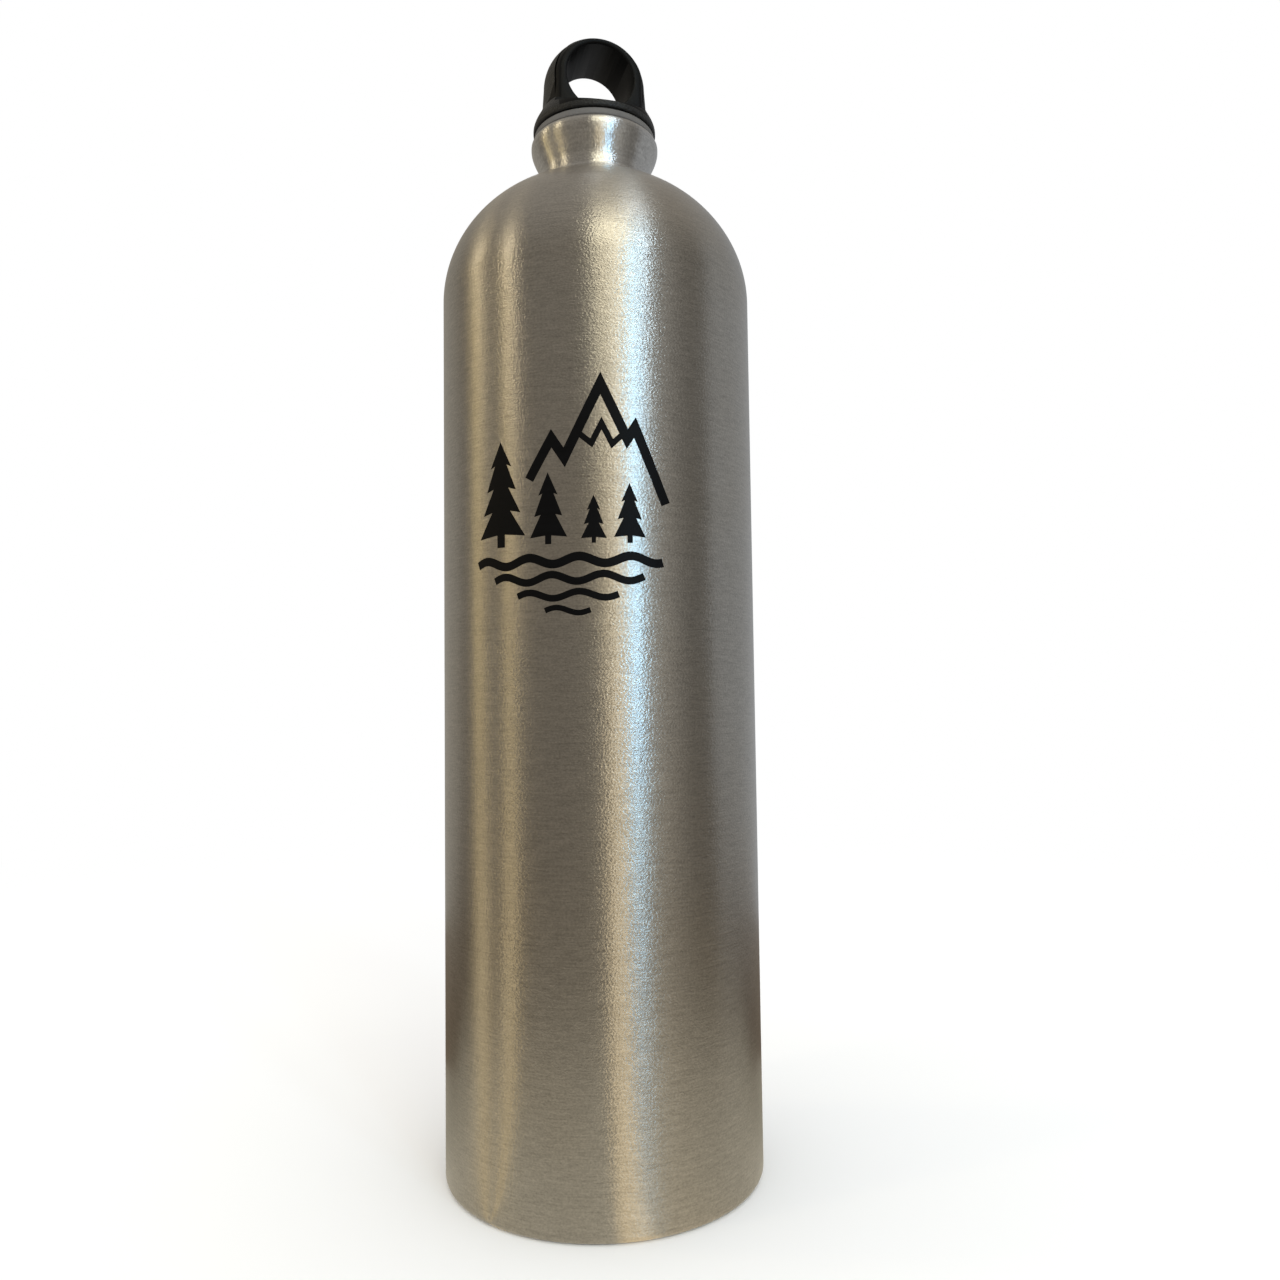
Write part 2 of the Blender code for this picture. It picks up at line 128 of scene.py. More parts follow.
class Bench:
    """One material's node tree, with a method for each kind of node that the finishes use."""

    def __init__(self, name: str) -> None:
        """Start an empty material.

        Args:
            name: the material's name.
        """
        self.material = bpy.data.materials.new(name)
        self.material.use_nodes = True
        self.tree = self.material.node_tree
        self.tree.nodes.clear()

    def node(self, kind: str, settings: dict | None = None, inputs: dict | None = None) -> bpy.types.Node:
        """Make a node.

        Args:
            kind: the node's type.
            settings: the node's own properties, set first.
            inputs: values or wires for its sockets, by name or place.

        Returns:
            The node.
        """
        made = self.tree.nodes.new(kind)
        for name, value in (settings or {}).items():
            setattr(made, name, value)
        for key, value in (inputs or {}).items():
            if isinstance(value, Wire):
                self.tree.links.new(value.socket, made.inputs[key])
            else:
                made.inputs[key].default_value = value
        return made

    def wire(self, kind: str, output: str | int, settings: dict | None = None,
             inputs: dict | None = None) -> Wire:
        """Make a node and return one of its outputs.

        Args:
            kind: the node's type.
            output: the output's name or place.
            settings: the node's own properties.
            inputs: values or wires for its sockets.

        Returns:
            The output as a wire.
        """
        return Wire(self, self.node(kind, settings, inputs).outputs[output])

    def maths(self, operation: str, first: Wire | float, second: Wire | float) -> Wire:
        """One Math node on two values."""
        return self.wire("ShaderNodeMath", 0, {"operation": operation}, {0: first, 1: second})

    def place(self) -> Wire:
        """The point on the piece, in metres in the model's frame."""
        return self.wire("ShaderNodeTexCoord", "Object")

    def parts(self, vector: Wire) -> tuple[Wire, Wire, Wire]:
        """A vector's three parts."""
        outputs = self.node("ShaderNodeSeparateXYZ", inputs={0: vector}).outputs
        return Wire(self, outputs[0]), Wire(self, outputs[1]), Wire(self, outputs[2])

    def vector(self, x: Wire | float, y: Wire | float, z: Wire | float) -> Wire:
        """A vector from three values."""
        return self.wire("ShaderNodeCombineXYZ", 0, inputs={0: x, 1: y, 2: z})

    def noise(self, vector: Wire, scale: float, detail: float = 2.0) -> Wire:
        """Noise about zero, from about -0.5 to 0.5.

        Args:
            vector: where to read the noise.
            scale: how many cells fit in a unit of the vector.
            detail: how many finer layers are added.

        Returns:
            The noise as a wire.
        """
        inputs = {"Vector": vector, "Scale": scale, "Detail": detail}
        return self.wire("ShaderNodeTexNoise", "Fac", inputs=inputs) - 0.5

    def hairs(self, x: Wire, y: Wire, along: Wire, across: float, fine: float, detail: float = 2.0) -> Wire:
        """Noise drawn out into lines round the axis.

        Args:
            x: the point's place along X.
            y: its place along Y.
            along: its place along the brushing's own upward run.
            across: how many cells fit in a metre round the axis.
            fine: how many cells fit in a metre of the upward run.
            detail: how many finer layers are added.

        Returns:
            The noise as a wire.
        """
        return self.noise(self.vector(x * across, y * across, along * fine), 1.0, detail)

    def vectors(self, operation: str, output: str, *values: Wire | Vector) -> Wire:
        """One Vector Math node on some vectors."""
        return self.wire("ShaderNodeVectorMath", output, {"operation": operation}, dict(enumerate(values)))

    def length(self, vector: Wire) -> Wire:
        """A vector's length."""
        return self.vectors("LENGTH", "Value", vector)

    def facing(self, vector: Wire, direction: Vector) -> Wire:
        """How far a vector points along a direction, whatever its length: 1 along it, and -1 away from it."""
        return self.vectors("DOT_PRODUCT", "Value", self.vectors("NORMALIZE", "Vector", vector), direction)

    def surfaced(self, shader: bpy.types.Node) -> bpy.types.Material:
        """Put a shader on the material's surface.

        Args:
            shader: the last shader node.

        Returns:
            The finished material.
        """
        output = self.node("ShaderNodeOutputMaterial")
        self.tree.links.new(shader.outputs[0], output.inputs["Surface"])
        return self.material

    def tinted(self, colour: Colour, tone: Wire) -> Wire:
        """A colour made lighter or darker by a tone around 1."""
        return self.wire("ShaderNodeVectorMath", "Vector", {"operation": "SCALE"}, {0: colour, "Scale": tone})

    def blended(self, share: Wire, first: Wire | Colour, second: Wire | Colour) -> Wire:
        """A mix of two colours.

        Args:
            share: how much of the second colour shows.
            first: the colour where the share is 0.
            second: the colour where the share is 1.

        Returns:
            The mixed colour.
        """
        ends = [end if isinstance(end, Wire) else (*end, 1.0) for end in (first, second)]
        return self.wire("ShaderNodeMix", 2, {"data_type": "RGBA"}, {0: share, 6: ends[0], 7: ends[1]})

    def bumped(self, height: Wire, distance: float, strength: float) -> Wire:
        """A normal that follows a height.

        Args:
            height: the height over the surface, from 0 to 1.
            distance: the length in metres that a height of 1 stands for.
            strength: how much of the effect shows.

        Returns:
            The normal as a wire.
        """
        inputs = {"Height": height, "Distance": distance, "Strength": strength}
        return self.wire("ShaderNodeBump", "Normal", inputs=inputs)

    def principled(self, **inputs: Wire | float | Colour) -> bpy.types.Material:
        """Finish the material with a Principled shader.

        Args:
            inputs: the shader's sockets, with underscores for spaces.

        Returns:
            The material.
        """
        named = {name.replace("_", " "): (*value, 1.0) if isinstance(value, tuple) else value
                 for name, value in inputs.items()}
        return self.surfaced(self.node("ShaderNodeBsdfPrincipled", inputs=named))


# Finishes


@dataclass(frozen=True)
class BrushedAluminium:
    """Aluminium brushed round its axis, under a thin satin lacquer."""

    name: str = "brushed_aluminium"
    colour: Colour = (0.43, 0.41, 0.375)
    warm_stain: Colour = (0.415, 0.38, 0.325)
    # Painted brightness: the neck's paler colour stands in for the brighter reflections of the neck.
    neck_brightened_colour: Colour = (0.54, 0.53, 0.51)
    roughness: float = 0.315
    dome_roughness: float = 0.31
    anisotropic: float = 0.90
    crosswise: float = 0.25
    lacquer: float = 0.25
    lacquer_roughness: float = 0.12
    relief: float = 0.03 * MM
    dome_foot: float = 243.1 * MM
    neck_foot: float = 278.5 * MM

    def material(self) -> bpy.types.Material:
        """Build the finish: lines round the axis, grit, uneven tones, a smoother dome and a paler neck, whose
        paleness is painted brightness.

        Returns:
            The material.
        """
        bench = Bench(self.name)
        x, y, z = bench.parts(bench.place())
        along = z - bench.length(bench.vector(x, y, 0.0))
        hairs = bench.hairs(x, y, along, 240, 2300)
        lines = bench.hairs(x, y, along, 26, 1300)
        grit = bench.noise(bench.vector(x, y, along * 1.4), 1700.0, 1.0)
        clouds = bench.noise(bench.vector(x, y, along * 0.6), 26.0)
        tone = 1.0 + hairs * 0.55 + lines * 0.16 + grit * 0.60 + clouds * 0.10
        stain = (clouds * 1.6 + 0.4).ramp(0.2, 1.2)
        body = bench.blended(stain, bench.tinted(self.colour, tone), bench.tinted(self.warm_stain, tone))
        # Above the neck's foot the colour turns paler, as painted brightness for the neck's brighter
        # reflections.
        neck = z.ramp(self.neck_foot - 3 * MM, self.neck_foot + 2 * MM)
        dome = z.ramp(self.dome_foot - 7 * MM, self.dome_foot + 7 * MM)
        smoother = dome * (self.roughness - self.dome_roughness)
        height = hairs * 0.6 + lines * 0.2 + grit * 2.4 + 0.5
        return bench.principled(
            Base_Color=bench.blended(neck, body, bench.tinted(self.neck_brightened_colour, tone)), Metallic=1.0,
            Roughness=self.roughness + hairs * 0.06 + clouds * 0.04 - smoother,
            Anisotropic=self.anisotropic, Anisotropic_Rotation=self.crosswise,
            Coat_Weight=self.lacquer, Coat_Roughness=self.lacquer_roughness,
            Normal=bench.bumped(height, self.relief, 0.9))


@dataclass(frozen=True)
class MachinedAluminium:
    """Bare aluminium cut on a lathe, with fine tool rings."""

    name: str = "machined_aluminium"
    colour: Colour = (0.56, 0.55, 0.53)
    roughness: float = 0.3
    relief: float = 0.02 * MM

    def material(self) -> bpy.types.Material:
        """Build the finish, with rings that follow the height.

        Returns:
            The material.
        """
        bench = Bench(self.name)
        rings = bench.hairs(*bench.parts(bench.place()), 8, 2200)
        return bench.principled(
            Base_Color=bench.tinted(self.colour, 1.0 + rings * 0.25), Metallic=1.0,
            Roughness=self.roughness + rings * 0.12, Normal=bench.bumped(rings, self.relief, 0.4))


@dataclass(frozen=True)
class Moulding:
    """Moulded plastic or rubber, with a fine grain."""

    name: str
    colour: Colour
    roughness: float
    grain_size: float
    grain_depth: float
    strength: float
    gloss: float = 0.35
    speckle: float = 0.35

    def material(self) -> bpy.types.Material:
        """Build the finish: a fine even grain, a little uneven gloss and faint dust.

        Returns:
            The material.
        """
        bench = Bench(self.name)
        place = bench.place()
        grain = bench.noise(place, 1 / self.grain_size, 1.5)
        drift = bench.noise(place, 160.0, 3.0)
        dust = bench.noise(place, 900.0, 3.0).ramp(0.16, 0.34)
        tone = 1.0 + grain * self.speckle + drift * 0.30 + dust * 0.9
        roughness = self.roughness + drift * 0.10 + grain * 0.08 + dust * 0.1
        return bench.principled(
            Base_Color=bench.tinted(self.colour, tone), Roughness=roughness, Specular_IOR_Level=self.gloss,
            Normal=bench.bumped(grain + 0.5, self.grain_depth, self.strength))


@dataclass(frozen=True)
class PrintInk:
    """Black screen-print ink, which lets the brushed lines under it show a little."""

    name: str = "print_ink"
    colour: Colour = (0.002, 0.002, 0.0022)
    roughness: float = 0.42
    gloss: float = 0.08
    relief: float = 0.02 * MM

    def material(self) -> bpy.types.Material:
        """Build the finish, with the brushing's lines as a faint relief.

        Returns:
            The material.
        """
        bench = Bench(self.name)
        place = bench.place()
        hairs = bench.hairs(*bench.parts(place), 22, 2600, 3.0)
        screen = bench.noise(place, 700.0)
        return bench.principled(
            Base_Color=bench.tinted(self.colour, 1.0 + hairs * 0.6 + screen * 0.4),
            Roughness=self.roughness + hairs * 0.16, Specular_IOR_Level=self.gloss,
            Normal=bench.bumped(hairs + 0.5, self.relief, 0.4))


SMOOTH_PLASTIC = Moulding("smooth_black_plastic", (0.0035, 0.0035, 0.0034), roughness=0.46,
                          grain_size=0.45 * MM, grain_depth=0.02 * MM, strength=0.3, gloss=0.09)
GRAINED_PLASTIC = Moulding("grained_black_plastic", (0.010, 0.010, 0.0095), roughness=0.46,
                           grain_size=0.55 * MM, grain_depth=0.22 * MM, strength=1.0, gloss=0.26,
                           speckle=1.8)
DISC_PLASTIC = Moulding("dark_disc_plastic", (0.022, 0.022, 0.023), roughness=0.5,
                        grain_size=0.5 * MM, grain_depth=0.02 * MM, strength=0.3)
GREY_SILICONE = Moulding("grey_silicone", (0.105, 0.100, 0.094), roughness=0.58,
                         grain_size=0.5 * MM, grain_depth=0.015 * MM, strength=0.3)


# Drawing and turning


@dataclass
class Outline:
    """A section drawn corner by corner, as radius, height and rounding."""

    arc_steps: int = 6
    corners: list[tuple[float, float, float]] = field(default_factory=list)

    def corner(self, radius: float, height: float, rounding: float = 0.0) -> "Outline":
        """Add one corner, sharp or rounded."""
        self.corners.append((radius, height, rounding))
        return self

    def run(self, points: Iterable[Point]) -> "Outline":
        """Add a run of points with no rounding."""
        self.corners += [(radius, height, 0.0) for radius, height in points]
        return self

    def points(self) -> list[Vector]:
        """Work out the outline's points.

        Returns:
            The points, with an arc at each rounded corner.
        """
        found = []
        for index, (radius, height, rounding) in enumerate(self.corners):
            corner = Vector((radius, height))
            if not rounding:
                found.append(corner)
                continue
            to_last = (Vector(self.corners[index - 1][:2]) - corner).normalized()
            to_next = (Vector(self.corners[(index + 1) % len(self.corners)][:2]) - corner).normalized()
            half_angle = to_last.angle(to_next) / 2
            reach = rounding / math.tan(half_angle)
            centre = corner + (to_last + to_next).normalized() * rounding / math.sin(half_angle)
            first_arm = corner + to_last * reach - centre
            last_arm = corner + to_next * reach - centre
            sweep = math.atan2(first_arm.cross(last_arm), first_arm.dot(last_arm))
            found += [centre + Matrix.Rotation(sweep * step / self.arc_steps, 2) @ first_arm
                      for step in range(self.arc_steps + 1)]
        return found


def eased(start: Point, end: Point, steps: int) -> list[Point]:
    """An S-shaped run between two points that is upright at both ends.

    Args:
        start: the first point, as radius and height.
        end: the last point.
        steps: how many steps the run has.

    Returns:
        The points as radius and height.
    """
    run = []
    for step in range(steps + 1):
        share = step / steps
        ease = share * share * (3 - 2 * share)
        run.append((start[0] + (end[0] - start[0]) * ease, start[1] + (end[1] - start[1]) * share))
    return run


def elliptical(height: float, size: Point, angles: Point, steps: int) -> list[Point]:
    """Points on an ellipse about the axis.

    Args:
        height: the height of the ellipse's centre.
        size: its half width and half height.
        angles: the first and last angle above the horizontal.
        steps: how many steps the run has.

    Returns:
        The points as radius and height.
    """
    run = []
    for step in range(steps + 1):
        angle = angles[0] + (angles[1] - angles[0]) * step / steps
        run.append((max(size[0] * math.cos(angle), 0.0), height + size[1] * math.sin(angle)))
    return run


def tidied(shape: Shape) -> Shape:
    """Merge a bmesh's doubles and turn its faces outwards.

    Args:
        shape: the bmesh.

    Returns:
        The same bmesh.
    """
    bmesh.ops.remove_doubles(shape, verts=shape.verts, dist=MERGE_DISTANCE)
    bmesh.ops.recalc_face_normals(shape, faces=shape.faces)
    return shape


def chained(shape: Shape, places: Iterable[Vector | Place], closed: bool = False) -> list:
    """Draw a line through some places.

    Args:
        shape: the bmesh that gets the line.
        places: where the line's corners are.
        closed: whether the line comes back to its start.

    Returns:
        The line's vertices and edges.
    """
    corners = [shape.verts.new(place) for place in places]
    edges = [shape.edges.new(pair) for pair in zip(corners, corners[1:])]
    if closed:
        edges.append(shape.edges.new((corners[-1], corners[0])))
    return corners + edges


def turned(outline: Outline, steps: int, closed: bool = False) -> Shape:
    """Turn an outline about the bottle's axis.

    Args:
        outline: the section.
        steps: how many facets go round.
        closed: whether the section closes on itself, as a ring's does.

    Returns:
        The turned solid.
    """
    shape = bmesh.new()
    line = chained(shape, ((point.x, 0, point.y) for point in outline.points()), closed)
    bmesh.ops.spin(shape, geom=line, cent=(0, 0, 0), axis=(0, 0, 1), dvec=(0, 0, 0),
                   angle=FULL_TURN, steps=steps, use_merge=True)
    return tidied(shape)


def moved(shape: Shape, offset: Place) -> Shape:
    """A bmesh moved by an offset."""
    bmesh.ops.translate(shape, verts=shape.verts, vec=offset)
    return shape


def pushed(shape: Shape, made: dict, offset: Place) -> None:
    """Move the vertices that an extrusion has made by an offset."""
    grown = [item for item in made["geom"] if isinstance(item, bmesh.types.BMVert)]
    bmesh.ops.translate(shape, verts=grown, vec=offset)


@dataclass
class Ridge:
    """A screw thread's ridge, which climbs right-handed and dives into its wall at both ends."""

    pitch: float = 4.0 * MM
    depth: float = 1.2 * MM
    crest_width: float = 1.1 * MM
    root_width: float = 2.1 * MM
    buried: float = 0.5 * MM
    fade_turns: float = 0.125
    steps: int = 144

    def shape(self, root: float, inward: int, start: float, angle: float, turns: float) -> Shape:
        """Wind the ridge.

        Args:
            root: the radius of the wall that carries the ridge.
            inward: 1 where the crest points at the axis, and -1 where it points away.
            start: the height of the first section's middle.
            angle: where round the axis the ridge starts.
            turns: how many turns it climbs.

        Returns:
            The ridge as a closed solid.
        """
        crest = root - inward * self.depth
        sunk = root + inward * self.buried
        hidden = root + inward * self.buried / 2
        section = ((sunk, -self.root_width / 2), (crest, -self.crest_width / 2),
                   (crest, self.crest_width / 2), (sunk, self.root_width / 2))
        shape = bmesh.new()
        corners = [shape.verts.new((radius, 0, start + rise)) for radius, rise in section]
        edges = [shape.edges.new((corners[index - 1], corners[index])) for index in range(len(corners))]
        between_facets = angle + FULL_TURN / self.steps / 2
        bmesh.ops.rotate(shape, verts=corners, cent=(0, 0, 0), matrix=Matrix.Rotation(between_facets, 3, "Z"))
        count = round(turns * self.steps)
        bmesh.ops.spin(shape, geom=corners + edges, cent=(0, 0, 0), axis=(0, 0, 1),
                       dvec=(0, 0, self.pitch / self.steps), angle=FULL_TURN * turns, steps=count)
        ends = [edge for edge in shape.edges if edge.is_boundary]
        bmesh.ops.holes_fill(shape, edges=ends, sides=len(section))
        fade = round(self.fade_turns * self.steps)
        for index, vertex in enumerate(shape.verts):
            step, place = divmod(index, len(section))
            if place not in (0, len(section) - 1):
                share = min(1, step / fade, (count - step) / fade)
                vertex.co.xy = vertex.co.xy.normalized() * (hidden + (crest - hidden) * share)
        bmesh.ops.recalc_face_normals(shape, faces=shape.faces)
        return shape


# Making pieces


def placed(name: str, shape: Shape, *finishes: bpy.types.Material | None) -> bpy.types.Object:
    """Make a bmesh into an object of the scene.

    Args:
        name: the object's name, and its mesh's.
        shape: the bmesh, which this frees.
        finishes: what each material slot holds.

    Returns:
        The object.
    """
    mesh = bpy.data.meshes.new(name)
    shape.to_mesh(mesh)
    shape.free()
    for finish in finishes:
        mesh.materials.append(finish)
    thing = bpy.data.objects.new(name, mesh)
    bpy.context.scene.collection.objects.link(thing)
    return thing


class Helper:
    """A shape that cuts or joins a piece and is then thrown away."""

    def __init__(self, name: str, shape: Shape, slots: int = 1, slot: int = 0) -> None:
        """Keep a bmesh as an object for as long as it is needed.

        Args:
            name: the helper's name.
            shape: the bmesh, which this frees.
            slots: how many material slots the piece has.
            slot: the slot that this helper's faces take.
        """
        for face in shape.faces:
            face.material_index = slot
        self.thing = placed(name, shape, *[None] * slots)

    def joined(self, other: "Helper", join: Join) -> "Helper":
        """Cut, join or clip this helper with another.

        Args:
            other: the helper that does it, which is used up.
            join: what it does.

        Returns:
            This helper.
        """
        modifier = self.thing.modifiers.new(join.name.lower(), "BOOLEAN")
        modifier.operation = join.value
        modifier.solver = "EXACT"
        modifier.object = other.thing
        scene_graph = bpy.context.evaluated_depsgraph_get()
        made = bpy.data.meshes.new_from_object(self.thing.evaluated_get(scene_graph))
        self.thing.modifiers.clear()
        self.thing.data = made
        other.discard()
        return self

    def shape(self) -> Shape:
        """Use the helper up.

        Returns:
            Its mesh as a bmesh.
        """
        found = bmesh.new()
        found.from_mesh(self.thing.data)
        self.discard()
        return found

    def discard(self) -> None:
        """Remove the helper's object."""
        bpy.data.objects.remove(self.thing, do_unlink=True)


@dataclass
class Piece:
    """What a finished piece is called, where it rides and what it stands for."""

    name: str
    body: Body
    slot: str
    stands_for: str | None = None
    smooth_angle: float = math.radians(35)

    def made(self, shape: Shape, *finishes: bpy.types.Material) -> None:
        """Turn a bmesh into the finished piece.

        Args:
            shape: the bmesh, which this frees.
            finishes: the piece's materials, one for each slot.
        """
        thing = placed(self.name, shape, *finishes)
        thing.data.shade_smooth()
        thing.data.set_sharp_from_angle(angle=self.smooth_angle)
        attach(thing, self.body.value)
        if self.stands_for:
            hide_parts(self.stands_for)
        log.info("%s: %d faces", self.name, len(thing.data.polygons))


# Sub-assemblies


@dataclass
class BottleShell:
    """The one-piece shell: body, shoulder, neck, bead and rolled lip."""

    radius: float = 44.0 * MM
    skin: float = 0.03 * MM
    straight: float = 243.1 * MM
    wall: float = 1.0 * MM
    base_wall: float = 1.4 * MM
    base_corner: float = 2.0 * MM
    foot_width: float = 3.0 * MM
    recess: float = 7.0 * MM
    shoulder: float = 38.0 * MM
    neck: float = 15.85 * MM
    neck_fillet: float = 3.0 * MM
    neck_length: float = 3.8 * MM
    bead: float = 18.55 * MM
    flare: float = 8.4 * MM
    band: float = 0.5 * MM
    bead_rounding: float = 1.6 * MM
    mouth: float = 14.3 * MM
    lip_rounding: float = 0.9 * MM
    lip_roll: float = 2.2 * MM
    turn_steps: int = 240

    @property
    def neck_foot(self) -> float:
        """The height where the shoulder meets the neck."""
        return self.straight + self.shoulder * math.sqrt(1 - (self.neck / self.radius) ** 2)

    @property
    def bead_foot(self) -> float:
        """The height where the neck starts to swell."""
        return self.neck_foot + self.neck_length

    @property
    def bead_height(self) -> float:
        """The height where the bead is widest."""
        return self.bead_foot + self.flare

    @property
    def lip(self) -> float:
        """The height of the lip's top."""
        return self.bead_height + self.band + self.bead_rounding

    def outside(self, outline: Outline) -> Outline:
        """Draw the outside, from the base's centre up to the mouth.

        Args:
            outline: the outline to draw on.

        Returns:
            The same outline.
        """
        radius = self.radius - self.skin
        foot_inner = self.radius - self.base_corner - self.foot_width
        neck_angle = math.acos(self.neck / self.radius)
        shoulder = elliptical(self.straight, (radius, self.shoulder), (0, neck_angle), 72)
        outline.run(elliptical(0, (foot_inner, self.recess), (QUARTER_TURN, 0), 20))
        outline.corner(radius, 0, self.base_corner)
        outline.run(shoulder[:-1]).corner(*shoulder[-1], self.neck_fillet)
        outline.run(eased((self.neck, self.bead_foot), (self.bead, self.bead_height), 24))
        outline.corner(self.bead, self.lip, self.bead_rounding)
        return outline.corner(self.mouth, self.lip, self.lip_rounding)

    def inside(self, outline: Outline) -> Outline:
        """Draw the inside, from the rolled lip down to the base's centre.

        Args:
            outline: the outline to draw on.

        Returns:
            The same outline.
        """
        body = self.radius - self.wall
        neck = self.neck - self.wall
        under_lip = self.lip - self.wall
        outline.corner(self.mouth, self.lip - self.lip_roll)
        outline.corner(self.mouth + self.wall, self.lip - self.lip_roll)
        outline.corner(self.mouth + self.wall, under_lip)
        outline.corner(self.bead - self.bead_rounding, under_lip)
        outline.corner(self.bead - self.wall, self.bead_height + self.band)
        outline.run(eased((self.bead - self.wall, self.bead_height), (neck, self.bead_foot), 16))
        size = (body, self.shoulder - self.wall)
        shoulder = elliptical(self.straight, size, (math.acos(neck / body), 0), 36)
        outline.corner(*shoulder[0], self.neck_fillet + self.wall).run(shoulder[1:])
        outline.corner(body, self.base_wall, self.base_corner - self.wall)
        dome = self.recess + self.base_wall
        inner_base = self.radius - self.base_corner - self.foot_width + self.base_wall
        start = math.asin(self.base_wall / dome)
        return outline.run(elliptical(0, (inner_base, dome), (start, QUARTER_TURN), 12))

    def build(self) -> None:
        """Make the shell's piece."""
        shape = turned(self.inside(self.outside(Outline())), self.turn_steps)
        piece = Piece("brushed_shell", Body.BOTTLE, "shell_metal", "bottle_shell")
        piece.made(shape, BrushedAluminium(dome_foot=self.straight, neck_foot=self.neck_foot).material())


@dataclass
class NeckInsert:
    """The threaded ring that the neck's bead traps."""

    shell: BottleShell
    gap: float = 0.3 * MM
    wall: float = 1.15 * MM
    skirt: float = 1.9 * MM
    chamfer: float = 0.4 * MM
    thread_margin: float = 1.6 * MM
    turns: float = 1.75
    steps: int = 144

    @property
    def bore(self) -> float:
        """The radius of the bore that the thread stands on."""
        return self.shell.neck - self.shell.wall - self.gap - self.wall

    @property
    def foot(self) -> float:
        """The height of the insert's lower end."""
        return self.shell.bead_foot - self.skirt

    @property
    def thread_start(self) -> float:
        """The height where the thread starts."""
        return self.foot + self.thread_margin

    def build(self) -> None:
        """Make the insert's piece."""
        shell, outset = self.shell, self.shell.wall + self.gap
        top = shell.lip - shell.lip_roll - self.gap
        flare = eased((shell.bead - outset, shell.bead_height), (shell.neck - outset, shell.bead_foot), 16)
        outline = Outline(3).corner(self.bore, self.foot, self.chamfer).corner(self.bore, top, self.chamfer)
        outline.corner(shell.bead - outset, top, self.chamfer)
        outline.run(point for point in flare if point[1] < top - 2 * self.chamfer)
        outline.corner(shell.neck - outset, self.foot, self.chamfer)
        ring = Helper("insert_ring", turned(outline, self.steps, closed=True))
        ridge = Ridge(steps=self.steps).shape(self.bore, 1, self.thread_start, 0, self.turns)
        shape = tidied(ring.joined(Helper("insert_ridge", ridge), Join.ADD).shape())
        piece = Piece("threaded_insert", Body.BOTTLE, "insert_metal", "neck_thread_insert")
        piece.made(shape, MachinedAluminium().material())


@dataclass
class LipGasket:
    """The grey ring that lies on the lip, under the cap."""

    shell: BottleShell
    inner: float = 12.2 * MM
    outer: float = 17.6 * MM
    top: float = 294.85 * MM
    rounding: float = 0.5 * MM

    def build(self) -> None:
        """Make the gasket's piece, seated on the lip."""
        foot = self.shell.lip + 0.01 * MM
        outline = Outline(5).corner(self.inner, foot, self.rounding).corner(self.outer, foot, self.rounding)
        outline.corner(self.outer, self.top, self.rounding).corner(self.inner, self.top, self.rounding)
        piece = Piece("lip_gasket", Body.GASKET, "gasket_silicone", "cap_gasket")
        piece.made(turned(outline, 192, closed=True), GREY_SILICONE.material())


